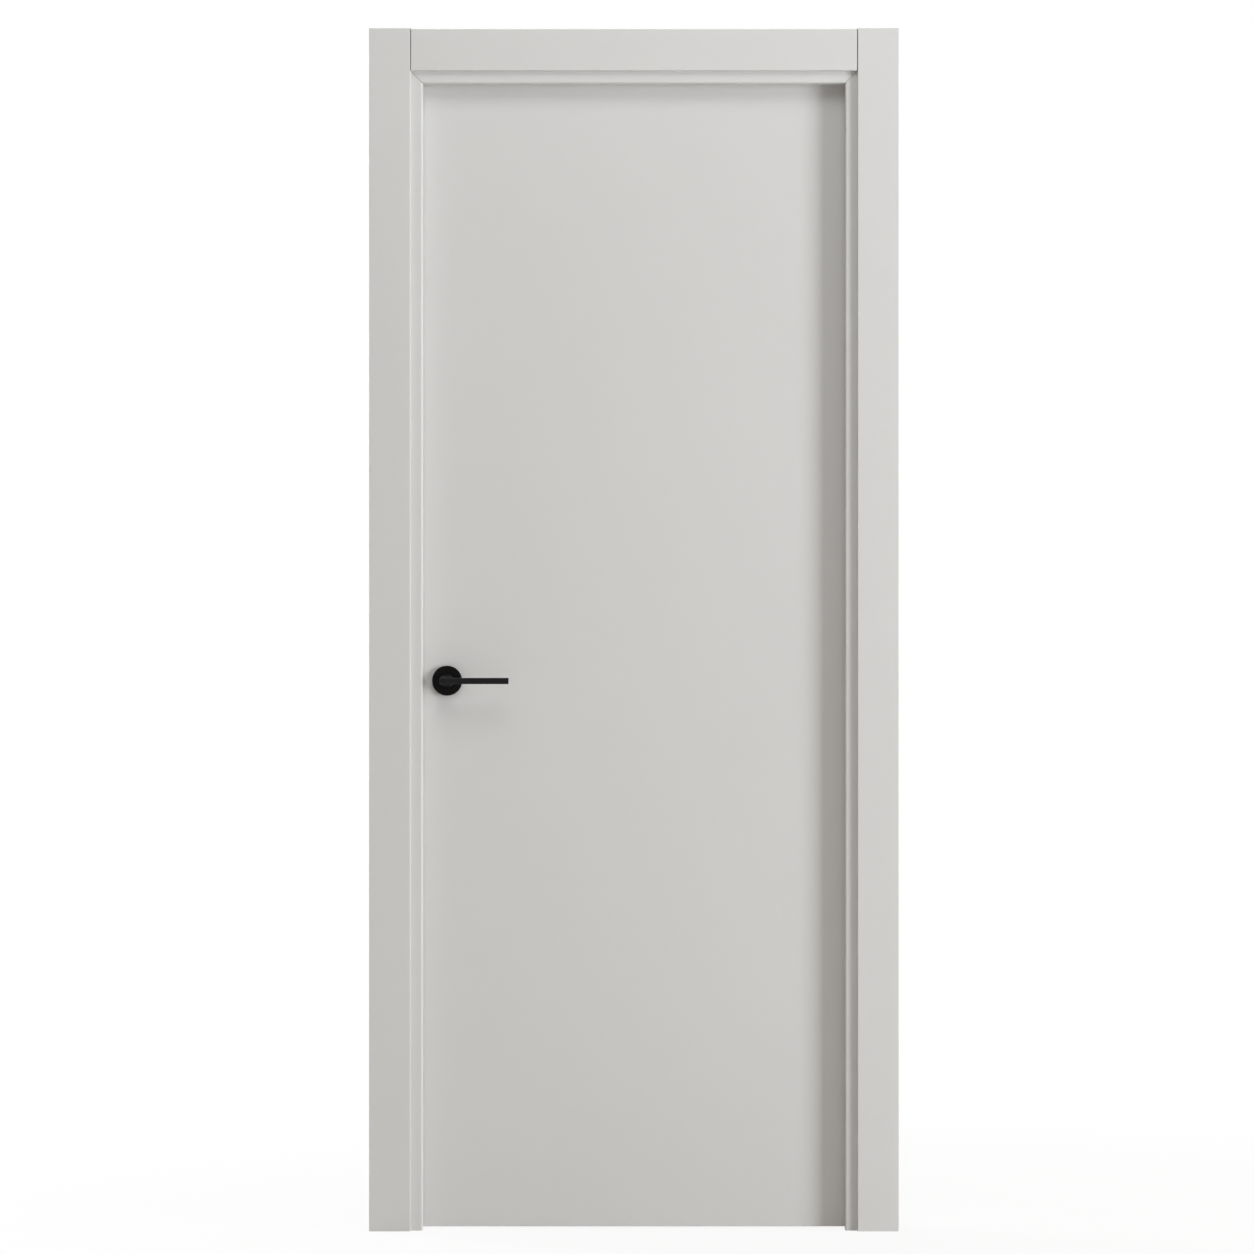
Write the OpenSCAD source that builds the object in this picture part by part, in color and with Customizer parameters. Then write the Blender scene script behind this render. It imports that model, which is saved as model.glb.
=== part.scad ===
// Interior flush door: a rebated frame with casings on both faces of the wall, a skinned leaf on three
// butt hinges, a magnetic latch and a lever handle on each side. Millimetres, +Z up.
// The origin is on the floor, at the foot of the hinge jamb's wall face, in the middle of the wall.
// The leaf runs towards -X, its push side faces -Y, and it opens towards +Y.

/* [Leaf] */
// Width of the leaf
leaf_w = 762; // [610:1:930]
// Height of the leaf
leaf_h = 2030; // [1900:1:2200]
// Thickness of the leaf
leaf_t = 35; // [33:0.5:44]
// Thickness of each face skin
skin_t = 4; // [3:0.5:5]
// Width of the stiles between the skins
stile_w = 85; // [80:1:120]
// Height of the rails between the skins
rail_h = 70; // [40:1:120]
// Radius of the eased edges round the leaf
leaf_edge_r = 1.2; // [0.5:0.1:2]

/* [Clearances] */
// Gap between the leaf and the jambs
leaf_gap = 5; // [4:0.5:6]
// Gap between the leaf and its stop, which the seal fills
seal_gap = 5; // [4:0.5:6]
// Gap between the leaf and the floor
floor_gap = 3; // [2:0.5:12]
// Gap that shows as a hairline where two frame pieces meet
joint_gap = 0.3; // [0.2:0.1:0.6]
// Room round a fitting in the recess cut for it
recess_gap = 0.2; // [0.1:0.05:0.4]

/* [Frame] */
// Depth of the jambs, which is the wall's thickness
jamb_d = 70; // [64:1:120]
// Thickness of the jambs at the stop
jamb_t = 30; // [28:1:40]
// Height of the rebate's step, from the stop back to the leaf's edge
rebate_step = 13; // [11:0.5:14]
// Radius of the arris between a jamb's front edge and its reveal
jamb_front_r = 3; // [1:0.5:4]
// Radius of the other arrises of a jamb
jamb_edge_r = 1; // [0.5:0.1:1.5]

/* [Casings] */
// Width of the casings
casing_w = 73; // [50:1:100]
// Thickness of the casings
casing_t = 10; // [8:0.5:16]
// Width of a jamb's edge that a casing covers
casing_lap = 9; // [5:0.5:10]
// Radius of the casings' arrises
casing_edge_r = 1.5; // [0.5:0.1:3]
// Height by which the legs stand above the head casing
casing_rise = 1.5; // [0:0.5:5]

/* [Seal] */
// Width of the seal's soft bulb
seal_w = 6.4; // [5:0.2:7]
// Width of the seal's tongue
seal_tongue_w = 2.6; // [2:0.1:3]
// Depth of the seal's tongue in its groove
seal_tongue_d = 5; // [3:0.5:6]
// Gap left between the seal and the closed leaf
seal_touch = 0.3; // [0.2:0.1:0.5]

/* [Hinges] */
// Height of a hinge
hinge_h = 80; // [60:1:110]
// Thickness of the hinge plates
hinge_t = 2.5; // [2:0.1:3]
// Width of a hinge plate let into the wood
hinge_plate_w = 26; // [20:1:28]
// Corner radius of the hinge plates
hinge_corner_r = 5; // [2:0.5:8]
// Outer radius of the knuckles
knuckle_r = 5.5; // [5.2:0.1:5.8]
// Radius of the hinge pins
pin_r = 3; // [2:0.1:3.5]
// Radial running clearance of the pins in the knuckles
pin_play = 0.05; // [0.02:0.01:0.1]
// Gap between neighbouring knuckles
knuckle_gap = 0.4; // [0.3:0.1:1]
// Distance from the leaf's pull face out to the pins' axis
pin_out = 7; // [6:0.1:8]
// Height of the pins' end caps
pin_cap_h = 3; // [2:0.5:5]
// Distance from the leaf's top edge down to the top hinge's middle
top_hinge_drop = 190; // [120:1:300]
// Distance from the leaf's bottom edge up to the bottom hinge's middle
bottom_hinge_rise = 220; // [120:1:350]

/* [Latch] */
// Distance from the leaf's lock edge to the handle's axis
backset = 50; // [45:1:60]
// Height of the handle's axis above the floor
handle_z = 970; // [900:1:1100]
// Length of the faceplate on the leaf's edge
faceplate_l = 170; // [155:1:200]
// Width of the faceplate
faceplate_w = 20; // [18:0.5:22]
// Thickness of the faceplate
faceplate_t = 3; // [2:0.5:4]
// Length of the latch case
case_l = 140; // [100:1:150]
// Thickness of the latch case
case_t = 14; // [12:0.5:16]
// Reach of the latch case behind the handle's axis
case_back = 20; // [15:1:22]
// Height of the latch bolt
bolt_h = 22; // [16:1:28]
// Thickness of the latch bolt
bolt_t = 9; // [8:0.5:10]
// Length of the latch bolt
bolt_l = 26; // [20:1:28]
// Length of the strike plate
strike_l = 150; // [120:1:180]
// Width of the strike plate
strike_w = 22; // [20:0.5:24]
// Thickness of the strike plate
strike_t = 2; // [1.5:0.1:2.5]
// Room round the bolt in the strike plate's window
strike_room = 2; // [1:0.5:3]
// Depth of the pocket behind the strike plate
strike_pocket_d = 11; // [8:0.5:12]

/* [Handle] */
// Radius of the rosettes
rosette_r = 26.5; // [24:0.5:30]
// Height of the rosettes
rosette_h = 8; // [6:0.5:12]
// Wall of the rosette covers
rosette_wall = 1.6; // [1:0.1:2]
// Radius of the rosettes' outer rim
rosette_rim_r = 1.4; // [0.5:0.1:1.6]
// Radius of the lever's round neck
neck_r = 12; // [9:0.5:13]
// Running clearance round the neck
neck_play = 0.3; // [0.2:0.05:0.5]
// Distance from the axis to the lever's tip
lever_reach = 110; // [95:1:140]
// Distance from the leaf's face to the grip's outer face
lever_out = 55; // [48:1:65]
// Height of the grip
grip_h = 11; // [8:0.1:16]
// Thickness of the grip
grip_t = 10; // [7:0.5:12]
// Radius inside the bend, from the neck to the back of the grip
bend_r = 6; // [3:0.5:10]
// Radius of the rounding at the lever's tip
tip_r = 1.5; // [0.5:0.1:3]
// Width across the flats of the square spindle
spindle_w = 8; // [7:0.5:9]
// Depth of the spindle's seat in each neck
spindle_seat = 22; // [12:1:24]
// Radius of the latch hub that the spindle turns
hub_r = 9; // [8:0.5:10]
// Running clearance round the latch hub
hub_play = 0.1; // [0.05:0.01:0.2]

/* [Hidden] */
$fn = 48;

lacquer = [0.81, 0.806, 0.796];
raw_board = [0.72, 0.6, 0.44];
black_metal = [0.035, 0.035, 0.037];
steel = [0.62, 0.62, 0.63];
soft_grey = [0.72, 0.72, 0.71];
black_nylon = [0.06, 0.06, 0.06];

// Room added to a cutter so that it passes cleanly through a face
over = 1;

// Frame: x of the faces and z of the levels
rebate_t = jamb_t - rebate_step;
hinge_rebate_x = -rebate_t;
leaf_x1 = hinge_rebate_x - leaf_gap;
leaf_x0 = leaf_x1 - leaf_w;
lock_rebate_x = leaf_x0 - leaf_gap;
frame_w = rebate_t - lock_rebate_x;
leaf_z0 = floor_gap;
leaf_z1 = leaf_z0 + leaf_h;
head_z = leaf_z1 + leaf_gap - rebate_step;
frame_h = head_z + jamb_t;

// Across the wall: y of the leaf's faces and of the stop
wall_y = jamb_d / 2;
leaf_y1 = wall_y;
leaf_y0 = leaf_y1 - leaf_t;
leaf_mid_y = (leaf_y0 + leaf_y1) / 2;
stop_y = leaf_y0 - seal_gap;

// Casings
head_casing_z = frame_h - casing_lap;
head_casing_top = head_casing_z + casing_w;
casing_top = head_casing_top + casing_rise;

// The seal stands in the middle of the strip where the leaf laps its stop
stop_lap = rebate_step - leaf_gap;
seal_u = jamb_t - stop_lap / 2;

// Hinges
pin_x = (hinge_rebate_x + leaf_x1) / 2;
pin_y = leaf_y1 + pin_out;
knuckle_count = 5;
knuckle_pitch = hinge_h / knuckle_count;
bottom_hinge_z = leaf_z0 + bottom_hinge_rise;
top_hinge_z = leaf_z1 - top_hinge_drop;
hinge_zs = [top_hinge_z, (top_hinge_z + bottom_hinge_z) / 2, bottom_hinge_z];

// Latch and handle
handle_x = leaf_x0 + backset;
case_x0 = leaf_x0 + faceplate_t;
case_x1 = handle_x + case_back;
spindle_bore_r = hub_r + 2;
base_h = rosette_h - rosette_wall;
base_r = rosette_r - rosette_wall;
socket_w = spindle_w + recess_gap;

// Lever: its neck starts just off the leaf, narrows from narrow_from on and is flat at narrow_to,
// both measured along the neck and round the bend
neck_start = 1;
bend_out = lever_out - grip_t - bend_r;
bend_length = 25;
narrow_from = rosette_h + 4;
narrow_to = bend_out + bend_length / 2;
lever_sides = 40;
bend_step = 4.5;
neck_rings = 8;
grip_squareness = 6;

// Rectangle from corner a to corner b, its corners rounded by the radii r, anticlockwise from a
module eased_rect(a, b, r = [0, 0, 0, 0]) {
    corners = [a, [b.x, a.y], b, [a.x, b.y]];
    inward = [[1, 1], [-1, 1], [-1, -1], [1, -1]];
    difference() {
        translate(a) square(b - a);
        for (i = [0:3])
            if (r[i] > 0)
                translate(corners[i] + inward[i] * (r[i] - over) / 2)
                    square(r[i] + over, center = true);
    }
    for (i = [0:3])
        if (r[i] > 0)
            translate(corners[i] + inward[i] * r[i]) circle(r[i]);
}

// Carries an outline drawn in x and z from y0 to y1
module along_y(y0, y1) {
    translate([0, y1, 0]) rotate([90, 0, 0]) linear_extrude(y1 - y0) children();
}

// Carries an outline drawn in y and z from x0 to x1
module along_x(x0, x1) {
    translate([x0, 0, 0]) rotate([90, 0, 90]) linear_extrude(x1 - x0) children();
}

// Box from corner a to corner b
module box(a, b) {
    translate(a) cube(b - a);
}

// Turns what stands on z = 0 so that it stands out from the leaf's push face or pull face at the handle
module on_push_face() {
    translate([handle_x, leaf_y0, handle_z]) rotate([90, 0, 0]) children();
}

module on_pull_face() {
    translate([handle_x, leaf_y1, handle_z]) mirror([0, 1, 0]) rotate([90, 0, 0]) children();
}

// Section of a jamb: x is the distance in from the wall, y is across the wall
module jamb_section() {
    difference() {
        union() {
            eased_rect([0, -wall_y], [jamb_t, stop_y], [0, jamb_front_r, jamb_edge_r, 0]);
            eased_rect([0, stop_y - over], [rebate_t, wall_y], [0, 0, jamb_edge_r, 0]);
        }
        translate([seal_u - seal_tongue_w / 2 - recess_gap, stop_y - seal_tongue_d - recess_gap])
            square([seal_tongue_w + 2 * recess_gap, seal_tongue_d + recess_gap + over]);
    }
}

// Section of the seal, in the same coordinates: a tongue and a soft half-round bulb
module seal_section() {
    bulb_h = seal_gap - seal_touch;
    bulb_r = min(seal_w, bulb_h) / 2 - recess_gap;
    translate([seal_u - seal_tongue_w / 2, stop_y - seal_tongue_d])
        square([seal_tongue_w, seal_tongue_d + over]);
    eased_rect(
        [seal_u - seal_w / 2, stop_y], [seal_u + seal_w / 2, stop_y + bulb_h],
        [0, 0, bulb_r, bulb_r]
    );
}

// Stands a jamb section up at the hinge side or at the lock side
module hinge_leg(h) {
    mirror([1, 0, 0]) linear_extrude(h) children();
}

module lock_leg(h) {
    translate([-frame_w, 0, 0]) linear_extrude(h) children();
}

// Lays a jamb section across the head, from x0 to x1
module across_head(x0, x1) {
    translate([x0, 0, frame_h]) rotate([0, 90, 0]) linear_extrude(x1 - x0) children();
}

// Front outline of what the hinge jamb keeps below its mitre
module hinge_leg_outline() {
    polygon([
        [-jamb_t - over, -over], [over, -over],
        [over, frame_h + over - joint_gap], [-jamb_t - over, head_z - over - joint_gap]
    ]);
}

module head_outline() {
    polygon([
        [over, frame_h + over], [-frame_w - over, frame_h + over],
        [-frame_w + jamb_t + over, head_z - over], [-jamb_t - over, head_z - over]
    ]);
}

module hinge_jamb() {
    color(lacquer) difference() {
        intersection() {
            hinge_leg(frame_h) jamb_section();
            along_y(-wall_y - over, wall_y + over) hinge_leg_outline();
        }
        for (z = hinge_zs) hinge_recess(z, hinge_rebate_x - over, hinge_rebate_x + hinge_t);
    }
}

module lock_jamb() {
    color(lacquer) difference() {
        intersection() {
            lock_leg(frame_h) jamb_section();
            along_y(-wall_y - over, wall_y + over)
                translate([-frame_w, 0]) mirror([1, 0]) hinge_leg_outline();
        }
        along_x(lock_rebate_x - strike_t, lock_rebate_x + over) strike_outline(recess_gap);
        along_x(lock_rebate_x - strike_t - strike_pocket_d, lock_rebate_x)
            strike_window(-recess_gap);
    }
}

module head_jamb() {
    color(lacquer) intersection() {
        across_head(-frame_w, 0) jamb_section();
        along_y(-wall_y - over, wall_y + over) head_outline();
    }
}

// The seals are mitred in the corners as the jambs are
module hinge_side_seal() {
    color(soft_grey) intersection() {
        hinge_leg(frame_h) seal_section();
        along_y(-wall_y - over, wall_y + over) hinge_leg_outline();
    }
}

module lock_side_seal() {
    color(soft_grey) to_lock_side() hinge_side_seal();
}

module head_seal() {
    color(soft_grey) intersection() {
        across_head(-frame_w, 0) seal_section();
        along_y(-wall_y - over, wall_y + over) head_outline();
    }
}

// Casing leg on the push face at the hinge side, arrises outwards
module casing_leg() {
    intersection() {
        linear_extrude(casing_top)
            eased_rect(
                [-casing_lap, -wall_y - casing_t], [casing_w - casing_lap, -wall_y],
                [casing_edge_r, casing_edge_r, 0, 0]
            );
        along_x(-casing_lap - over, casing_w - casing_lap + over)
            eased_rect(
                [-wall_y - casing_t, 0], [-wall_y, casing_top],
                [0, 0, 0, casing_edge_r]
            );
    }
}

module casing_head() {
    x0 = -frame_w + casing_lap + joint_gap;
    x1 = -casing_lap - joint_gap;
    intersection() {
        along_x(x0, x1)
            eased_rect(
                [-wall_y - casing_t, head_casing_z], [-wall_y, head_casing_top],
                [casing_edge_r, 0, 0, casing_edge_r]
            );
        linear_extrude(casing_top)
            eased_rect(
                [x0, -wall_y - casing_t], [x1, -wall_y],
                [casing_edge_r / 2, casing_edge_r / 2, 0, 0]
            );
    }
}

module to_lock_side() {
    translate([-frame_w, 0, 0]) mirror([1, 0, 0]) children();
}

module front_casing_hinge_side() {
    color(lacquer) casing_leg();
}

module front_casing_lock_side() {
    color(lacquer) to_lock_side() casing_leg();
}

module front_casing_head() {
    color(lacquer) casing_head();
}

module back_casing_hinge_side() {
    color(lacquer) mirror([0, 1, 0]) casing_leg();
}

module back_casing_lock_side() {
    color(lacquer) mirror([0, 1, 0]) to_lock_side() casing_leg();
}

module back_casing_head() {
    color(lacquer) mirror([0, 1, 0]) casing_head();
}

// Outline of a hinge plate on the edge that it is let into, with room round it
module hinge_plate_outline(z, room = 0) {
    eased_rect(
        [leaf_y1 - hinge_plate_w - room, z - hinge_h / 2 - room],
        [leaf_y1 + room, z + hinge_h / 2 + room],
        [hinge_corner_r + room, 0, 0, hinge_corner_r + room]
    );
}

module hinge_recess(z, x0, x1) {
    along_x(x0, x1) hinge_plate_outline(z, recess_gap);
}

// Knuckle number i of a hinge, counted from the bottom, with the web that joins it to its plate
module knuckle(z, i, plate_x) {
    z0 = z - hinge_h / 2 + i * knuckle_pitch + knuckle_gap / 2;
    translate([0, 0, z0]) linear_extrude(knuckle_pitch - knuckle_gap) difference() {
        union() {
            translate([pin_x, pin_y]) circle(knuckle_r);
            translate([plate_x, leaf_y1 - over]) square([hinge_t, pin_out + over]);
        }
        translate([pin_x, pin_y]) circle(pin_r + pin_play);
    }
}

// One half of a hinge: its plate and every second knuckle, from number first
module hinge_half(z, plate_x, first) {
    color(black_metal) {
        along_x(plate_x, plate_x + hinge_t) hinge_plate_outline(z);
        for (i = [first:2:knuckle_count - 1]) knuckle(z, i, plate_x);
    }
}

module jamb_plate(z) {
    hinge_half(z, hinge_rebate_x, 0);
}

module leaf_plate(z) {
    hinge_half(z, leaf_x1 - hinge_t, 1);
}

module hinge_pin(z) {
    cap_r = knuckle_r - 0.5;
    color(black_metal) translate([pin_x, pin_y, z]) {
        cylinder(r = pin_r, h = hinge_h, center = true);
        for (end = [0, 1]) mirror([0, 0, end])
            translate([0, 0, hinge_h / 2 - knuckle_gap / 2])
                rotate_extrude() {
                    square([cap_r, pin_cap_h - 1]);
                    square([cap_r - 1, pin_cap_h]);
                    translate([cap_r - 1, pin_cap_h - 1]) intersection() {
                        circle(1);
                        square(1);
                    }
                }
    }
}

// Outline of the strike plate, and of the window in it for the bolt
module strike_outline(room = 0) {
    eased_rect(
        [leaf_mid_y - strike_w / 2 - room, handle_z - strike_l / 2 - room],
        [leaf_mid_y + strike_w / 2 + room, handle_z + strike_l / 2 + room],
        [1, 1, 1, 1] * (4 + room)
    );
}

module strike_window(room = 0) {
    half = [bolt_t / 2 + strike_room - room, bolt_h / 2 + strike_room - room];
    translate([leaf_mid_y, handle_z]) translate(-half) square(2 * half);
}

module strike_plate() {
    color(black_metal) along_x(lock_rebate_x - strike_t, lock_rebate_x) difference() {
        strike_outline();
        strike_window();
    }
}

// What the latch cuts out of the stile: a seat for the faceplate and a mortise for the case
module latch_recess() {
    along_x(leaf_x0 - over, case_x0) faceplate_outline(recess_gap);
    box(
        [case_x0 - over, leaf_mid_y - case_t / 2 - recess_gap, handle_z - case_l / 2 - recess_gap],
        [case_x1 + recess_gap, leaf_mid_y + case_t / 2 + recess_gap,
            handle_z + case_l / 2 + recess_gap]
    );
}

module faceplate_outline(room = 0) {
    eased_rect(
        [leaf_mid_y - faceplate_w / 2 - room, handle_z - faceplate_l / 2 - room],
        [leaf_mid_y + faceplate_w / 2 + room, handle_z + faceplate_l / 2 + room],
        [1, 1, 1, 1] * (4 + room)
    );
}

// Outline of the bolt seen end on, with room round it
module bolt_outline(room = 0) {
    half = [bolt_t / 2 + room, bolt_h / 2 + room];
    translate([leaf_mid_y, handle_z]) translate(-half) square(2 * half);
}

module latch_faceplate() {
    color(black_metal) along_x(leaf_x0, case_x0) difference() {
        faceplate_outline();
        bolt_outline(recess_gap);
    }
}

module latch_case() {
    color(steel) difference() {
        box(
            [case_x0, leaf_mid_y - case_t / 2, handle_z - case_l / 2],
            [case_x1, leaf_mid_y + case_t / 2, handle_z + case_l / 2]
        );
        along_x(case_x0 - over, leaf_x0 + bolt_l + recess_gap) bolt_outline(recess_gap);
        translate([handle_x, leaf_mid_y, handle_z]) rotate([90, 0, 0])
            cylinder(r = hub_r + hub_play, h = case_t + 2 * over, center = true);
    }
}

module latch_bolt() {
    color(steel) along_x(leaf_x0, leaf_x0 + bolt_l) bolt_outline();
}

// Round hole through the leaf for the spindle and the hub
module spindle_bore() {
    translate([handle_x, leaf_mid_y, handle_z]) rotate([90, 0, 0])
        cylinder(r = spindle_bore_r, h = leaf_t + 2 * over, center = true);
}

// Leaf: a skin on each face, with its outer edges eased all round
module skin(y0, y1, corners_xy, corners_yz) {
    difference() {
        intersection() {
            translate([0, 0, leaf_z0]) linear_extrude(leaf_h)
                eased_rect([leaf_x0, y0], [leaf_x1, y1], corners_xy * leaf_edge_r);
            along_x(leaf_x0 - over, leaf_x1 + over)
                eased_rect([y0, leaf_z0], [y1, leaf_z1], corners_yz * leaf_edge_r);
        }
        for (z = hinge_zs) hinge_recess(z, leaf_x1 - hinge_t, leaf_x1 + over);
        spindle_bore();
    }
}

module leaf_front_skin() {
    color(lacquer) skin(leaf_y0, leaf_y0 + skin_t, [1, 1, 0, 0], [1, 0, 0, 1]);
}

module leaf_back_skin() {
    color(lacquer) skin(leaf_y1 - skin_t, leaf_y1, [0, 0, 1, 1], [0, 1, 1, 0]);
}

core_y0 = leaf_y0 + skin_t;
core_y1 = leaf_y1 - skin_t;

module lock_stile() {
    color(lacquer) difference() {
        box([leaf_x0, core_y0, leaf_z0], [leaf_x0 + stile_w, core_y1, leaf_z1]);
        latch_recess();
        spindle_bore();
    }
}

module hinge_stile() {
    color(lacquer) difference() {
        box([leaf_x1 - stile_w, core_y0, leaf_z0], [leaf_x1, core_y1, leaf_z1]);
        for (z = hinge_zs) hinge_recess(z, leaf_x1 - hinge_t, leaf_x1 + over);
    }
}

module leaf_top_rail() {
    color(lacquer)
        box([leaf_x0 + stile_w, core_y0, leaf_z1 - rail_h], [leaf_x1 - stile_w, core_y1, leaf_z1]);
}

module leaf_bottom_rail() {
    color(lacquer)
        box([leaf_x0 + stile_w, core_y0, leaf_z0], [leaf_x1 - stile_w, core_y1, leaf_z0 + rail_h]);
}

module leaf_core() {
    color(raw_board) box(
        [leaf_x0 + stile_w, core_y0, leaf_z0 + rail_h],
        [leaf_x1 - stile_w, core_y1, leaf_z1 - rail_h]
    );
}

// Rosette cover: a flat cup over its base, with a round rim
module rosette() {
    color(black_metal) rotate_extrude($fn = 96) difference() {
        eased_rect([0, 0], [rosette_r, rosette_h], [0, 0, rosette_rim_r, 0]);
        translate([-over, -over]) square([base_r + over, base_h + over]);
        translate([-over, -over]) square([neck_r + neck_play + over, rosette_h + 2 * over]);
    }
}

module rosette_base() {
    color(black_nylon) difference() {
        cylinder(r = base_r - recess_gap, h = base_h);
        translate([0, 0, -over]) cylinder(r = neck_r + neck_play, h = base_h + 2 * over);
    }
}

function mix(a, b, t) = a + (b - a) * t;
function smooth(t) = let (c = min(1, max(0, t))) c * c * (3 - 2 * c);
function signed_power(v, p) = sign(v) * pow(abs(v), p);

// A station of the lever: [x and distance out of the section's middle, its turn, half width, share left]
// The neck runs straight out, the bend turns about a point inside it, and the grip runs along x
function neck_station(out) = [[0, out], 0, neck_r, out, 1];
function bend_radius(turn) =
    pow(
        pow(cos(turn) / (2 * neck_r + bend_r), 4) + pow(sin(turn) / (grip_t + bend_r), 4),
        -1 / 4
    );
function bend_station(turn) =
    let (
        pivot = [neck_r + bend_r, bend_out],
        outwards = [-cos(turn), sin(turn)],
        far = bend_radius(turn)
    )
    [pivot + outwards * (far + bend_r) / 2, turn, (far - bend_r) / 2,
        bend_out + bend_length * turn / 90, 1];
function grip_station(x, share = 1) =
    [[x, lever_out - grip_t / 2], 90, grip_t / 2, bend_out + bend_length, share];

lever_stations = concat(
    [for (out = [neck_start, narrow_from]) neck_station(out)],
    [for (i = [1:neck_rings]) neck_station(mix(narrow_from, bend_out, i / (neck_rings + 1)))],
    [for (turn = [0:bend_step:90 - bend_step]) bend_station(turn)],
    [grip_station(neck_r + bend_r)],
    [for (a = [0:22.5:90])
        grip_station(lever_reach - tip_r + tip_r * sin(a), 1 - (1 - cos(a)) * tip_r / grip_h)]
);

// Ring of points round a station: a circle on the neck that squares up as it narrows to the grip
function station_ring(s) =
    let (
        t = smooth((s[3] - narrow_from) / (narrow_to - narrow_from)),
        half_w = s[2] * s[4],
        half_h = mix(neck_r, grip_h / 2, t) * s[4],
        power = 2 / mix(2, grip_squareness, t)
    )
    [for (i = [0:lever_sides - 1])
        let (
            a = 360 * i / lever_sides,
            across = half_w * signed_power(cos(a), power),
            up = half_h * signed_power(sin(a), power)
        )
        [s[0].x - across * cos(s[1]), up, s[0].y + across * sin(s[1])]];

// Solid through rings of n points, closed at both ends
module loft(rings, n) {
    points = [for (ring = rings) each ring];
    last = len(rings) - 1;
    sides = [for (r = [0:last - 1], i = [0:n - 1])
        let (j = (i + 1) % n, a = r * n + i, b = r * n + j, c = b + n, d = a + n)
        each [[a, c, d], [a, b, c]]];
    ends = [[for (i = [n - 1:-1:0]) i], [for (i = [0:n - 1]) last * n + i]];
    polyhedron(points, concat(sides, ends), convexity = 6);
}

// Lever that stands out along z from the leaf's face, with a square seat for the spindle
module lever() {
    color(black_metal) difference() {
        loft([for (s = lever_stations) station_ring(s)], lever_sides);
        translate([0, 0, neck_start + spindle_seat / 2 - over / 2])
            cube([socket_w, socket_w, spindle_seat + over], center = true);
    }
}

module spindle() {
    reach = neck_start + spindle_seat - recess_gap;
    color(steel) box(
        [handle_x - spindle_w / 2, leaf_y0 - reach, handle_z - spindle_w / 2],
        [handle_x + spindle_w / 2, leaf_y1 + reach, handle_z + spindle_w / 2]
    );
}

module latch_hub() {
    color(steel) translate([handle_x, leaf_mid_y, handle_z]) rotate([90, 0, 0]) difference() {
        cylinder(r = hub_r, h = case_t, center = true);
        cube([socket_w, socket_w, case_t + 2 * over], center = true);
    }
}

hinge_jamb();
lock_jamb();
head_jamb();
hinge_side_seal();
lock_side_seal();
head_seal();
front_casing_hinge_side();
front_casing_lock_side();
front_casing_head();
back_casing_hinge_side();
back_casing_lock_side();
back_casing_head();
strike_plate();
jamb_plate(hinge_zs[0]);  // top_hinge_jamb_plate
jamb_plate(hinge_zs[1]);  // middle_hinge_jamb_plate
jamb_plate(hinge_zs[2]);  // bottom_hinge_jamb_plate
hinge_pin(hinge_zs[0]);  // top_hinge_pin
hinge_pin(hinge_zs[1]);  // middle_hinge_pin
hinge_pin(hinge_zs[2]);  // bottom_hinge_pin
leaf_front_skin();
leaf_back_skin();
lock_stile();
hinge_stile();
leaf_top_rail();
leaf_bottom_rail();
leaf_core();
latch_faceplate();
latch_case();
latch_bolt();
leaf_plate(hinge_zs[0]);  // top_hinge_leaf_plate
leaf_plate(hinge_zs[1]);  // middle_hinge_leaf_plate
leaf_plate(hinge_zs[2]);  // bottom_hinge_leaf_plate
on_push_face() rosette();  // front_rosette
on_pull_face() rosette();  // back_rosette
on_push_face() rosette_base();  // front_rosette_base
on_pull_face() rosette_base();  // back_rosette_base
on_push_face() lever();  // front_lever
on_pull_face() lever();  // back_lever
spindle();
latch_hub();
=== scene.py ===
import math

import bpy
import numpy as np
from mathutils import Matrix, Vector


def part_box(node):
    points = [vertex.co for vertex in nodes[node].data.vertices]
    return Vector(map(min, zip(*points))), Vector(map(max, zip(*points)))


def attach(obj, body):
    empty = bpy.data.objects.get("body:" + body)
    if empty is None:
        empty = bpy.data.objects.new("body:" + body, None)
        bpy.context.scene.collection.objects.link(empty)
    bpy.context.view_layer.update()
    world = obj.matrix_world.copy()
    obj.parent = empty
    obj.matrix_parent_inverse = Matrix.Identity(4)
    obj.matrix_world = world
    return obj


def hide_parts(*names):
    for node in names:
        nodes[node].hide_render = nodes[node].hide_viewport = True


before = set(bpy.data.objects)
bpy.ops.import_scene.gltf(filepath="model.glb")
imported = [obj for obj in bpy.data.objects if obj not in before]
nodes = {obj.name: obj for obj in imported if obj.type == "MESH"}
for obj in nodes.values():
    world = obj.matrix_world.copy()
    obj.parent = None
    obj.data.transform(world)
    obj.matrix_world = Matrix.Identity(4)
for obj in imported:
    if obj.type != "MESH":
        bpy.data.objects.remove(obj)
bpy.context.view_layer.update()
print("stage: frame loaded, nodes:", len(nodes))


def newMaterial(name):
    material = bpy.data.materials.new(name)
    material.use_nodes = True
    tree = material.node_tree
    shader = tree.nodes["Principled BSDF"]
    place = tree.nodes.new("ShaderNodeTexCoord").outputs["Object"]
    return material, tree, shader, place


def noiseNode(tree, place, scale, detail=2.0, stretch=(1, 1, 1), shift=(0, 0, 0)):
    mapping = tree.nodes.new("ShaderNodeMapping")  # a stretch under 1 draws the grain out that way
    mapping.inputs["Scale"].default_value = stretch
    mapping.inputs["Location"].default_value = shift
    noise = tree.nodes.new("ShaderNodeTexNoise")
    noise.inputs["Scale"].default_value = scale
    noise.inputs["Detail"].default_value = detail
    tree.links.new(place, mapping.inputs["Vector"])
    tree.links.new(mapping.outputs["Vector"], noise.inputs["Vector"])
    return noise.outputs["Fac"]


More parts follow.
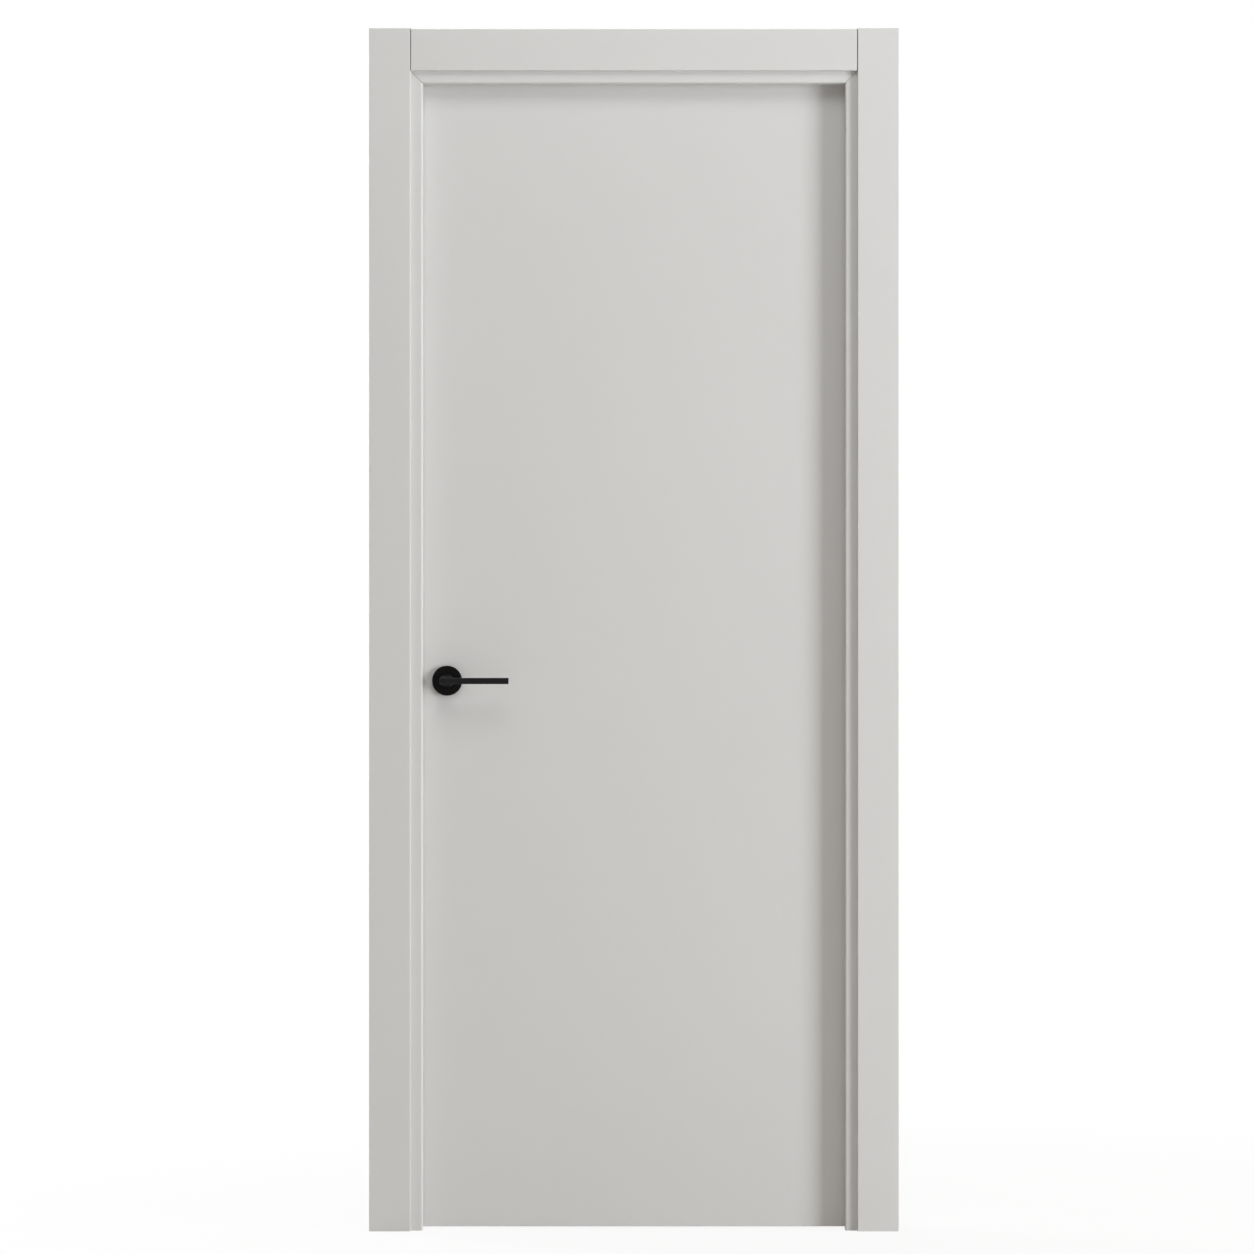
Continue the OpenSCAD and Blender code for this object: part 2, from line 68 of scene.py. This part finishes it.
def rangeNode(tree, value, low, high, fromLow=0.3, fromHigh=0.7):
    node = tree.nodes.new("ShaderNodeMapRange")
    node.inputs["From Min"].default_value = fromLow
    node.inputs["From Max"].default_value = fromHigh
    node.inputs["To Min"].default_value = low
    node.inputs["To Max"].default_value = high
    tree.links.new(value, node.inputs["Value"])
    return node.outputs["Result"]


def mixNode(tree, factor, first, second):
    node = tree.nodes.new("ShaderNodeMix")
    node.data_type = "RGBA"
    node.inputs["A"].default_value = (*first, 1)
    node.inputs["B"].default_value = (*second, 1)
    tree.links.new(factor, node.inputs["Factor"])
    return node.outputs["Result"]


def bumpNode(tree, height, depth, strength=1.0, under=None):
    node = tree.nodes.new("ShaderNodeBump")
    node.inputs["Distance"].default_value = depth
    node.inputs["Strength"].default_value = strength
    tree.links.new(height, node.inputs["Height"])
    if under is not None:
        tree.links.new(under, node.inputs["Normal"])
    return node.outputs["Normal"]


def mathNode(tree, operation, first, second=0.0):
    node = tree.nodes.new("ShaderNodeMath")
    node.operation = operation
    for place, value in enumerate((first, second)):
        if isinstance(value, float):
            node.inputs[place].default_value = value
        else:
            tree.links.new(value, node.inputs[place])
    return node.outputs[0]


# painted shadow of the hairline gaps at the joints: its half widths, and the dark shade painted there
jointGapShadowValues = {"mitreHalf": 0.0005, "buttHalf": 0.0008, "shade": (0.10, 0.098, 0.094)}


def jointGapShadow(tree, place, ends, start, rise, halfWidth):
    # Painted shadow of the hairline gap at a joint: 1 on a hairline whose distance from the middle of the
    # two ends is half their span plus the rise times the height over the start, and 0 elsewhere and below
    # the start
    parts = tree.nodes.new("ShaderNodeSeparateXYZ")
    tree.links.new(place, parts.inputs[0])
    fromMiddle = mathNode(tree, "SUBTRACT", parts.outputs["X"], (ends[0] + ends[1]) / 2)
    beyond = mathNode(tree, "SUBTRACT", mathNode(tree, "ABSOLUTE", fromMiddle), (ends[1] - ends[0]) / 2)
    over = mathNode(tree, "SUBTRACT", parts.outputs["Z"], start)
    off = mathNode(tree, "SUBTRACT", beyond, mathNode(tree, "MULTIPLY", over, rise))
    line = rangeNode(tree, mathNode(tree, "ABSOLUTE", off), 1.0, 0.0, halfWidth * 0.6, halfWidth * 1.4)
    return mathNode(tree, "MULTIPLY", line, mathNode(tree, "GREATER_THAN", over, 0.0))


lacquerValues = {
    "tone": (0.600, 0.594, 0.583),  # linear red, green and blue of the pale grey-white
    "drift": 0.016,  # share by which the tone wanders over the board
    "driftScale": 1.6,  # per metre
    "peelScale": 520.0,  # orange peel of the sprayed coat, per metre
    "peelDepth": 0.00003,
    "peelStrength": 0.35,
    "waveScale": 14.0,  # slow waves of the board under the coat, per metre
    "waveDepth": 0.00025,
    "waveStrength": 0.25,
    "sheenRough": (0.38, 0.48),
}


def lacquerMaterial(name, shift, joint=None, values=lacquerValues):
    # joint holds the last four values of the function that paints the shadow of a joint's hairline gap
    material, tree, shader, place = newMaterial(name)
    tone = np.array(values["tone"])
    slow = noiseNode(tree, place, values["driftScale"], 2.0, shift=shift)
    colour = mixNode(tree, slow, tone * (1 - values["drift"]), tone * (1 + values["drift"]))
    if joint:
        # the joint's hairline is painted dark with shade, a painted shadow of its gap
        shaded = mixNode(tree, jointGapShadow(tree, place, *joint), (1, 1, 1), jointGapShadowValues["shade"])
        tree.links.new(colour, shaded.node.inputs["A"])
        colour = shaded
    tree.links.new(colour, shader.inputs["Base Color"])
    sheen = noiseNode(tree, place, 9.0, 4.0, shift=shift)
    tree.links.new(rangeNode(tree, sheen, *values["sheenRough"]), shader.inputs["Roughness"])
    waves = noiseNode(tree, place, values["waveScale"], 2.0, stretch=(1, 1, 0.25), shift=shift)
    waved = bumpNode(tree, waves, values["waveDepth"], values["waveStrength"])
    peel = noiseNode(tree, place, values["peelScale"], 2.0)
    peeled = bumpNode(tree, peel, values["peelDepth"], values["peelStrength"], waved)
    tree.links.new(peeled, shader.inputs["Normal"])
    return material


blackValues = {
    "tone": (0.0032, 0.0032, 0.0032),
    "dust": (0.0056, 0.0055, 0.0055),
    "rough": (0.30, 0.42),
    "specular": 0.06,
    "grainScale": 2600.0,  # powder coat, per metre
    "grainDepth": 0.000025,
}

leverCoatValues = {  # the levers shine a little more, worn by hands
    **blackValues,
    "tone": (0.0066, 0.0065, 0.0066),
    "dust": (0.0098, 0.0097, 0.0096),
    "rough": (0.27, 0.38),
    "specular": 0.12,
}


def blackMaterial(name, shift, values=blackValues):
    material, tree, shader, place = newMaterial(name)
    shader.inputs["Specular IOR Level"].default_value = values["specular"]
    cloud = noiseNode(tree, place, 60.0, 5.0, shift=shift)
    dusty = rangeNode(tree, cloud, 0.0, 1.0, 0.4, 0.75)
    tree.links.new(mixNode(tree, dusty, values["tone"], values["dust"]), shader.inputs["Base Color"])
    tree.links.new(rangeNode(tree, cloud, *values["rough"]), shader.inputs["Roughness"])
    grain = noiseNode(tree, place, values["grainScale"], 2.0)
    tree.links.new(bumpNode(tree, grain, values["grainDepth"], 0.6), shader.inputs["Normal"])
    return material


steelValues = {"tone": (0.50, 0.50, 0.51), "worn": (0.62, 0.62, 0.62), "rough": (0.24, 0.40)}
blackZincValues = {"tone": (0.030, 0.030, 0.032), "worn": (0.052, 0.052, 0.054), "rough": (0.30, 0.44)}


def steelMaterial(name, stretch, values=steelValues):
    material, tree, shader, place = newMaterial(name)
    shader.inputs["Metallic"].default_value = 1.0
    lines = noiseNode(tree, place, 1800.0, 3.0, stretch=stretch)  # brushed along the small share
    tree.links.new(mixNode(tree, lines, values["tone"], values["worn"]), shader.inputs["Base Color"])
    tree.links.new(rangeNode(tree, lines, *values["rough"]), shader.inputs["Roughness"])
    tree.links.new(bumpNode(tree, lines, 0.00001, 0.5), shader.inputs["Normal"])
    return material


sealValues = {"tone": (0.47, 0.465, 0.45), "chalk": (0.55, 0.545, 0.53), "rough": (0.55, 0.72)}


def sealMaterial(name, values=sealValues):
    material, tree, shader, place = newMaterial(name)
    bloom = noiseNode(tree, place, 30.0, 4.0, stretch=(1, 1, 0.3))
    tree.links.new(mixNode(tree, bloom, values["tone"], values["chalk"]), shader.inputs["Base Color"])
    tree.links.new(rangeNode(tree, bloom, *values["rough"]), shader.inputs["Roughness"])
    skin = noiseNode(tree, place, 1500.0, 2.0)
    tree.links.new(bumpNode(tree, skin, 0.00003, 0.5), shader.inputs["Normal"])
    return material


nylonValues = {"tone": (0.018, 0.018, 0.018), "rough": (0.45, 0.6)}


def nylonMaterial(name, values=nylonValues):
    material, tree, shader, place = newMaterial(name)
    flow = noiseNode(tree, place, 90.0, 3.0)
    tone = np.array(values["tone"])
    tree.links.new(mixNode(tree, flow, tone, tone * 1.5), shader.inputs["Base Color"])
    tree.links.new(rangeNode(tree, flow, *values["rough"]), shader.inputs["Roughness"])
    spark = noiseNode(tree, place, 3000.0, 1.0)
    tree.links.new(bumpNode(tree, spark, 0.00002, 0.4), shader.inputs["Normal"])
    return material


boardValues = {"pale": (0.58, 0.45, 0.30), "dark": (0.38, 0.27, 0.16), "rough": 0.85}


def boardMaterial(name, values=boardValues):
    material, tree, shader, place = newMaterial(name)
    chips = noiseNode(tree, place, 220.0, 6.0, stretch=(1, 1, 0.4))
    chipTone = rangeNode(tree, chips, 0.0, 1.0, 0.35, 0.65)
    tree.links.new(mixNode(tree, chipTone, values["dark"], values["pale"]), shader.inputs["Base Color"])
    shader.inputs["Roughness"].default_value = values["rough"]
    tree.links.new(bumpNode(tree, chips, 0.0003, 0.6), shader.inputs["Normal"])
    return material


def giveMaterial(names, material):
    for name in names:
        if not nodes[name].material_slots:
            nodes[name].data.materials.append(material)
        for slot in nodes[name].material_slots:
            slot.material = material


leafLacquer = lacquerMaterial("leafLacquer", (0, 0, 0))
opening = (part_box("lock_jamb")[1][0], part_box("hinge_jamb")[0][0])
# the painted gap shadows lie on the frame's two mitres and at the two ends of the head casing
mitreGapShadow = (opening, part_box("head_jamb")[0][2], 1.0, jointGapShadowValues["mitreHalf"])
headEnds = (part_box("front_casing_head")[0][0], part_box("front_casing_head")[1][0])
buttGapShadow = (headEnds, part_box("front_casing_head")[0][2], 0.0, jointGapShadowValues["buttHalf"])
frameLacquer = lacquerMaterial("frameLacquer", (3, 1, 2), mitreGapShadow)
casingLacquer = lacquerMaterial("casingLacquer", (5, 4, 1), buttGapShadow)
blackCoat = blackMaterial("blackCoat", (0, 0, 0))
leverCoat = blackMaterial("leverCoat", (2, 3, 1), leverCoatValues)
zincSteel = steelMaterial("zincSteel", (1, 1, 0.05))
turnedSteel = steelMaterial("turnedSteel", (1, 0.05, 1))
blackZinc = steelMaterial("blackZinc", (1, 1, 1), blackZincValues)

hingePlaces = ("top", "middle", "bottom")
giveMaterial(["leaf_front_skin", "leaf_back_skin"], leafLacquer)
giveMaterial(["lock_stile", "hinge_stile", "leaf_top_rail", "leaf_bottom_rail"], leafLacquer)
giveMaterial(["hinge_jamb", "lock_jamb", "head_jamb"], frameLacquer)
giveMaterial([name for name in nodes if "_casing_" in name], casingLacquer)
giveMaterial(["hinge_side_seal", "lock_side_seal", "head_seal"], sealMaterial("softSeal"))
for hingePlace in hingePlaces:
    hingeParts = ["_hinge_jamb_plate", "_hinge_leaf_plate", "_hinge_pin"]
    giveMaterial([hingePlace + part for part in hingeParts], blackCoat)
giveMaterial(["strike_plate", "latch_faceplate", "front_rosette", "back_rosette"], blackCoat)
giveMaterial(["front_rosette_base", "back_rosette_base"], nylonMaterial("blackNylon"))
giveMaterial(["latch_case", "latch_bolt", "latch_hub"], zincSteel)
giveMaterial(["spindle"], turnedSteel)
giveMaterial(["leaf_core"], boardMaterial("coreBoard"))
print("stage: materials on the nodes")


def addPiece(name, vertices, faceArrays, material):
    faces = []
    for array in faceArrays:
        faces += array.tolist()
    mesh = bpy.data.meshes.new(name)
    mesh.from_pydata(vertices.reshape(-1, 3).tolist(), [], faces)
    mesh.polygons.foreach_set("use_smooth", np.ones(len(faces), bool))
    mesh.materials.append(material)
    mesh.update()
    piece = bpy.data.objects.new(name, mesh)
    bpy.context.scene.collection.objects.link(piece)
    return piece


def ringFaces(ringCount, sideCount):
    # Quads between neighbouring rings of points, each ring closed on itself. A corner's number is its
    # ring times the sides plus its side.
    ring, side = np.meshgrid(np.arange(ringCount - 1), np.arange(sideCount), indexing="ij")
    near = ring * sideCount + side
    far = ring * sideCount + (side + 1) % sideCount
    return np.stack([near, near + sideCount, far + sideCount, far], -1).reshape(-1, 4)


def poleFaces(pole, firstOfRing, sideCount):
    # a fan of triangles from a pole to the ring whose first corner is given
    side = np.arange(sideCount)
    nextSide = (side + 1) % sideCount
    return np.stack([np.full(sideCount, pole), firstOfRing + side, firstOfRing + nextSide], -1)


def smoothStep(value):
    value = np.clip(value, 0, 1)
    return value * value * (3 - 2 * value)


def signedPower(value, power):
    return np.sign(value) * np.abs(value) ** power


leverValues = {  # millimetres, the same as the solid's
    "neckStart": 1.0,
    "neckRadius": 12.0,
    "narrowFrom": 12.0,
    "reach": 110.0,
    "out": 55.0,
    "gripHeight": 11.0,
    "gripThickness": 10.0,
    "bendRadius": 6.0,
    "bendLength": 25.0,
    "tipRadius": 1.5,
    "gripSquareness": 6.0,
    "sides": 96,
    "neckRings": 26,
    "bendRings": 44,
    "gripRings": 14,
    "tipRings": 8,
    "endShares": (0.96, 0.6, 0.25),  # flat rings that close the tip
}


def leverSurface(values):
    # A profile carried along a path, as an array of rings. The path runs straight out, turns 90 degrees
    # round a point inside the bend, then runs along x. The profile is |x/w|^n + |y/h|^n = 1, where n
    # goes smoothly from 2, a circle, to the grip's squareness, and h from the neck's radius to half the
    # grip's height. In the bend, w is half the way from the inside radius to the outer one, whose inverse
    # is the fourth root of the sum of two fourth powers.
    neckR, bendR, thick = values["neckRadius"], values["bendRadius"], values["gripThickness"]
    bendOut = values["out"] - thick - bendR
    pathEnd = bendOut + values["bendLength"]
    neckOut = np.linspace(values["neckStart"], bendOut, values["neckRings"], endpoint=False)
    still = np.zeros_like(neckOut)
    neck = np.stack([still, neckOut, still, still + neckR, neckOut, still + 1], 1)

    turn = np.linspace(0, np.pi / 2, values["bendRings"], endpoint=False)
    far = ((np.cos(turn) / (2 * neckR + bendR)) ** 4 + (np.sin(turn) / (thick + bendR)) ** 4) ** -0.25
    middle = (far + bendR) / 2
    bendX = neckR + bendR - np.cos(turn) * middle
    bendY = bendOut + np.sin(turn) * middle
    along = bendOut + values["bendLength"] * turn / (np.pi / 2)
    bend = np.stack([bendX, bendY, turn, (far - bendR) / 2, along, np.ones_like(turn)], 1)

    tip = np.linspace(0, np.pi / 2, values["tipRings"])
    straightEnd = values["reach"] - values["tipRadius"]
    gripX = np.linspace(neckR + bendR, straightEnd, values["gripRings"], endpoint=False)
    tipX = straightEnd + values["tipRadius"] * np.sin(tip)
    tipShare = 1 - (1 - np.cos(tip)) * values["tipRadius"] / values["gripHeight"]
    endShare = tipShare[-1] * np.array(values["endShares"])
    gripX = np.concatenate([gripX, tipX, np.full(len(endShare), values["reach"])])
    share = np.concatenate([np.ones(values["gripRings"]), tipShare, endShare])
    ones = np.ones_like(gripX)
    gripY = ones * (values["out"] - thick / 2)
    grip = np.stack([gripX, gripY, ones * np.pi / 2, ones * thick / 2, ones * pathEnd, share], 1)

    stations = np.concatenate([neck, bend, grip])
    x, out, angle, halfWidth, along, left = stations.T[:, :, None]
    narrowTo = bendOut + values["bendLength"] / 2
    squared = smoothStep((along - values["narrowFrom"]) / (narrowTo - values["narrowFrom"]))
    halfHeight = (neckR + (values["gripHeight"] / 2 - neckR) * squared) * left
    power = 2 / (2 + (values["gripSquareness"] - 2) * squared)
    around = np.linspace(0, 2 * np.pi, values["sides"], endpoint=False)[None, :]
    across = halfWidth * left * signedPower(np.cos(around), power)
    up = halfHeight * signedPower(np.sin(around), power)
    return np.stack([x - across * np.cos(angle), up, out + across * np.sin(angle)], -1)


def buildLever(name, node, rosette, side, material, values=leverValues):
    # side is -1 for the push face and 1 for the pull face, whose lever is the mirror image
    rings = leverSurface(values) / 1000
    low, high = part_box(rosette)
    centreX, centreZ = (low[0] + high[0]) / 2, (low[2] + high[2]) / 2
    face = high[1] if side < 0 else low[1]
    placed = np.stack([centreX + rings[..., 0], face + side * rings[..., 2], centreZ + rings[..., 1]], -1)
    ringCount, sideCount = rings.shape[:2]
    points = np.concatenate([placed.reshape(-1, 3), placed[[0, -1]].mean(1)])
    startPole = ringCount * sideCount
    startCap = poleFaces(startPole, 0, sideCount)
    endCap = poleFaces(startPole + 1, startPole - sideCount, sideCount)[:, ::-1]
    faceArrays = [ringFaces(ringCount, sideCount), startCap, endCap]
    if side > 0:
        faceArrays = [array[:, ::-1] for array in faceArrays]
    piece = addPiece(name, points, faceArrays, material)
    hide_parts(node)
    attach(piece, "lever")


buildLever("frontLeverForm", "front_lever", "front_rosette", -1, leverCoat)
buildLever("backLeverForm", "back_lever", "back_rosette", 1, leverCoat)
print("stage: levers")


screwValues = {  # millimetres
    "headRadius": 3.9,
    "rim": 0.25,  # how far the head stands out of its plate
    "recessDepth": 1.1,
    "armLength": 2.3,
    "armHalfWidth": 0.42,
    "armSlope": 0.25,
    "endSlope": 0.9,
    "sunk": 1.2,
    "middleRadius": 0.12,
    "rings": 15,
    "sides": 48,
}


def screwHead(values):
    # A height over a polar grid: a flat disc with a rounded rim, less a cross whose depth falls off
    # smoothly with the distance to the nearer arm's middle line and towards the arm's end. A last ring
    # at the sunk depth and two poles close it.
    radius = np.linspace(values["middleRadius"] / values["headRadius"], 1, values["rings"])[:, None]
    angle = np.linspace(0, 2 * np.pi, values["sides"], endpoint=False)[None, :]
    x = radius * values["headRadius"] * np.cos(angle)
    y = radius * values["headRadius"] * np.sin(angle)
    rim = values["rim"] * np.sqrt(np.clip(1 - radius ** 8, 0, 1))
    nearer = np.minimum(np.abs(x), np.abs(y))
    farther = np.maximum(np.abs(x), np.abs(y))
    inArm = smoothStep((values["armHalfWidth"] - nearer) / values["armSlope"] + 0.5)
    inLength = smoothStep((values["armLength"] - farther) / values["endSlope"])
    top = np.stack([x, y, rim - values["recessDepth"] * inArm * inLength], -1)
    skirt = top[-1:] * (1, 1, 0) - (0, 0, values["sunk"])
    middle = [[0, 0, values["rim"] - values["recessDepth"]], [0, 0, -values["sunk"]]]
    points = np.concatenate([top.reshape(-1, 3), skirt.reshape(-1, 3), middle]) / 1000
    ringCount, sideCount = values["rings"] + 1, values["sides"]
    pole = ringCount * sideCount
    sides = ringFaces(ringCount, sideCount)
    topFan = poleFaces(pole, 0, sideCount)
    footFan = poleFaces(pole + 1, pole - sideCount, sideCount)[:, ::-1]
    return points, [sides, topFan, footFan]


def buildScrews(name, body, places, facing, material, values=screwValues):
    # places are points on the plate's face and facing is 1 or -1, the way the heads look along x
    head, faceArrays = screwHead(values)
    places = np.array(places)
    count = len(places)
    spin = np.linspace(0.3, 5.1, count)[:, None]  # each is driven to its own angle
    across, up = head[:, 0], head[:, 1] * facing
    x = np.tile(head[:, 2] * facing, (count, 1))
    y = across * np.cos(spin) - up * np.sin(spin)
    z = across * np.sin(spin) + up * np.cos(spin)
    points = np.stack([x, y, z], -1) + places[:, None, :]
    first = (np.arange(count) * len(head))[:, None, None]
    repeated = [(array[None] + first).reshape(-1, array.shape[1]) for array in faceArrays]
    piece = addPiece(name, points, repeated, material)
    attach(piece, body)


hingeScrewValues = {"inset": 0.008, "rowGap": 0.0105, "outerHeight": 0.029, "innerHeight": 0.011}


def hingeScrewPlaces(part, faceX, values=hingeScrewValues):
    # four to a plate: two in the row far from the pin, two nearer the middle in the other row
    places = []
    for hingePlace in hingePlaces:
        low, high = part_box(hingePlace + part)
        middle = (low[2] + high[2]) / 2
        farRow = low[1] + values["inset"]
        nearRow = farRow + values["rowGap"]
        for up in (-1, 1):
            places.append((faceX, nearRow, middle + up * values["outerHeight"]))
            places.append((faceX, farRow, middle + up * values["innerHeight"]))
    return places


def endScrewPlaces(node, faceX, inset=0.010):
    low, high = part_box(node)
    middleY = (low[1] + high[1]) / 2
    return [(faceX, middleY, low[2] + inset), (faceX, middleY, high[2] - inset)]


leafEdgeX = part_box("hinge_stile")[1][0]
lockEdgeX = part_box("lock_stile")[0][0]
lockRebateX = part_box("strike_plate")[1][0]
hingeRebateX = leafEdgeX + (lockEdgeX - lockRebateX)  # the gap is the same on both edges
buildScrews("jambHingeScrews", "frame", hingeScrewPlaces("_hinge_jamb_plate", hingeRebateX), -1, blackZinc)
buildScrews("leafHingeScrews", "leaf", hingeScrewPlaces("_hinge_leaf_plate", leafEdgeX), 1, blackZinc)
buildScrews("faceplateScrews", "leaf", endScrewPlaces("latch_faceplate", lockEdgeX), -1, blackZinc)
buildScrews("strikeScrews", "frame", endScrewPlaces("strike_plate", lockRebateX), 1, blackZinc)
print("stage: screws")


viewValues = {
    "frameWidth": 2.210,  # metres of the front casings' plane across the whole picture
    "distance": 8.0,  # from that plane
    "centreX": -0.4154,
    "centreZ": 1.0651,
}

skyValues = {"colour": (1.0, 0.87, 0.77), "horizon": 0.02, "overhead": 0.61}

lampValues = {  # watts, colour, place, width and height
    "keyLamp": (308.0, (0.94, 0.97, 1.0), (4.50, -2.90, 1.15), (1.7, 3.4)),
    "topLamp": (33.0, (0.93, 0.98, 1.0), (-0.40, -2.20, 3.90), (1.6, 1.4)),
    "backKeyLamp": (308.0, (0.94, 0.97, 1.0), (-5.30, 2.90, 1.15), (1.7, 3.4)),
    "backTopLamp": (33.0, (0.93, 0.98, 1.0), (-0.40, 2.20, 3.90), (1.6, 1.4)),
}

floorValues = {"tone": 0.80, "halfSize": 12.0, "shadowShare": 0.12, "shadowReach": (0.5, 1.9)}


def whiteToCamera(tree):
    # 1 for what the camera sees straight, in a mirror or through glass
    path = tree.nodes.new("ShaderNodeLightPath")
    total = path.outputs["Is Camera Ray"]
    for name in ("Is Glossy Ray", "Is Transmission Ray"):
        node = tree.nodes.new("ShaderNodeMath")
        node.operation = "MAXIMUM"
        tree.links.new(total, node.inputs[0])
        tree.links.new(path.outputs[name], node.inputs[1])
        total = node.outputs[0]
    return total


def buildWorld(values=skyValues):
    world = bpy.data.worlds.new("softStudio")
    bpy.context.scene.world = world
    world.use_nodes = True
    tree = world.node_tree
    output = tree.nodes["World Output"]
    lit = tree.nodes["Background"]
    lit.inputs["Color"].default_value = (*values["colour"], 1)
    parts = tree.nodes.new("ShaderNodeSeparateXYZ")
    tree.links.new(tree.nodes.new("ShaderNodeTexCoord").outputs["Generated"], parts.inputs[0])
    level = rangeNode(tree, parts.outputs["Z"], values["horizon"], values["overhead"], 0.0, 1.0)
    tree.links.new(level, lit.inputs["Strength"])
    seen = tree.nodes.new("ShaderNodeBackground")
    seen.inputs["Color"].default_value = (1, 1, 1, 1)
    seen.inputs["Strength"].default_value = 1.0
    mix = tree.nodes.new("ShaderNodeMixShader")
    tree.links.new(whiteToCamera(tree), mix.inputs[0])
    tree.links.new(lit.outputs[0], mix.inputs[1])
    tree.links.new(seen.outputs[0], mix.inputs[2])
    tree.links.new(mix.outputs[0], output.inputs["Surface"])


def buildFloor(values=floorValues):
    half = values["halfSize"]
    corners = [(-half, -half, 0), (half, -half, 0), (half, half, 0), (-half, half, 0)]
    mesh = bpy.data.meshes.new("floor")
    mesh.from_pydata(corners, [], [(0, 1, 2, 3)])
    floor = bpy.data.objects.new("floor", mesh)
    bpy.context.scene.collection.objects.link(floor)
    floor.location.z = -0.0005
    material, tree, shader, place = newMaterial("paleFloor")
    speck = noiseNode(tree, place, 40.0, 3.0)
    tone = np.full(3, values["tone"])
    tree.links.new(mixNode(tree, speck, tone * 0.985, tone), shader.inputs["Base Color"])
    shader.inputs["Roughness"].default_value = 0.9
    white = tree.nodes.new("ShaderNodeEmission")
    white.inputs["Strength"].default_value = 1.0
    length = tree.nodes.new("ShaderNodeVectorMath")
    length.operation = "LENGTH"
    tree.links.new(place, length.inputs[0])
    near = rangeNode(tree, length.outputs["Value"], values["shadowShare"], 0.0, *values["shadowReach"])
    hide = tree.nodes.new("ShaderNodeMath")  # share of plain white in what the camera sees
    hide.operation = "SUBTRACT"
    hide.inputs[0].default_value = 1.0
    tree.links.new(near, hide.inputs[1])
    seen = tree.nodes.new("ShaderNodeMath")
    seen.operation = "MULTIPLY"
    tree.links.new(hide.outputs[0], seen.inputs[0])
    tree.links.new(whiteToCamera(tree), seen.inputs[1])
    mix = tree.nodes.new("ShaderNodeMixShader")
    tree.links.new(seen.outputs[0], mix.inputs[0])
    tree.links.new(shader.outputs[0], mix.inputs[1])
    tree.links.new(white.outputs[0], mix.inputs[2])
    tree.links.new(mix.outputs[0], tree.nodes["Material Output"].inputs["Surface"])
    mesh.materials.append(material)


def buildLamps(values=lampValues, aim=(-0.40, 0.0, 1.05)):
    for name, (watts, colour, place, size) in values.items():
        light = bpy.data.lights.new(name, "AREA")
        light.energy = watts
        light.color = colour
        light.shape = "RECTANGLE"
        light.size, light.size_y = size
        lamp = bpy.data.objects.new(name, light)
        bpy.context.scene.collection.objects.link(lamp)
        lamp.location = place
        lamp.rotation_euler = (Vector(aim) - Vector(place)).to_track_quat("-Z", "Y").to_euler()
        lamp.visible_camera = False


def buildCamera(values=viewValues):
    camera = bpy.data.cameras.new("photoCamera")
    camera.sensor_width = 36.0
    camera.lens = 36.0 * values["distance"] / values["frameWidth"]
    camera.clip_end = 100.0
    eye = bpy.data.objects.new("photoCamera", camera)
    bpy.context.scene.collection.objects.link(eye)
    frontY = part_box("front_casing_head")[0][1]
    eye.location = (values["centreX"], frontY - values["distance"], values["centreZ"])
    eye.rotation_euler = (math.pi / 2, 0, 0)
    bpy.context.scene.camera = eye


buildWorld()
buildFloor()
buildLamps()
buildCamera()
bpy.context.scene.view_settings.view_transform = "Standard"
print("stage: floor, light and camera")
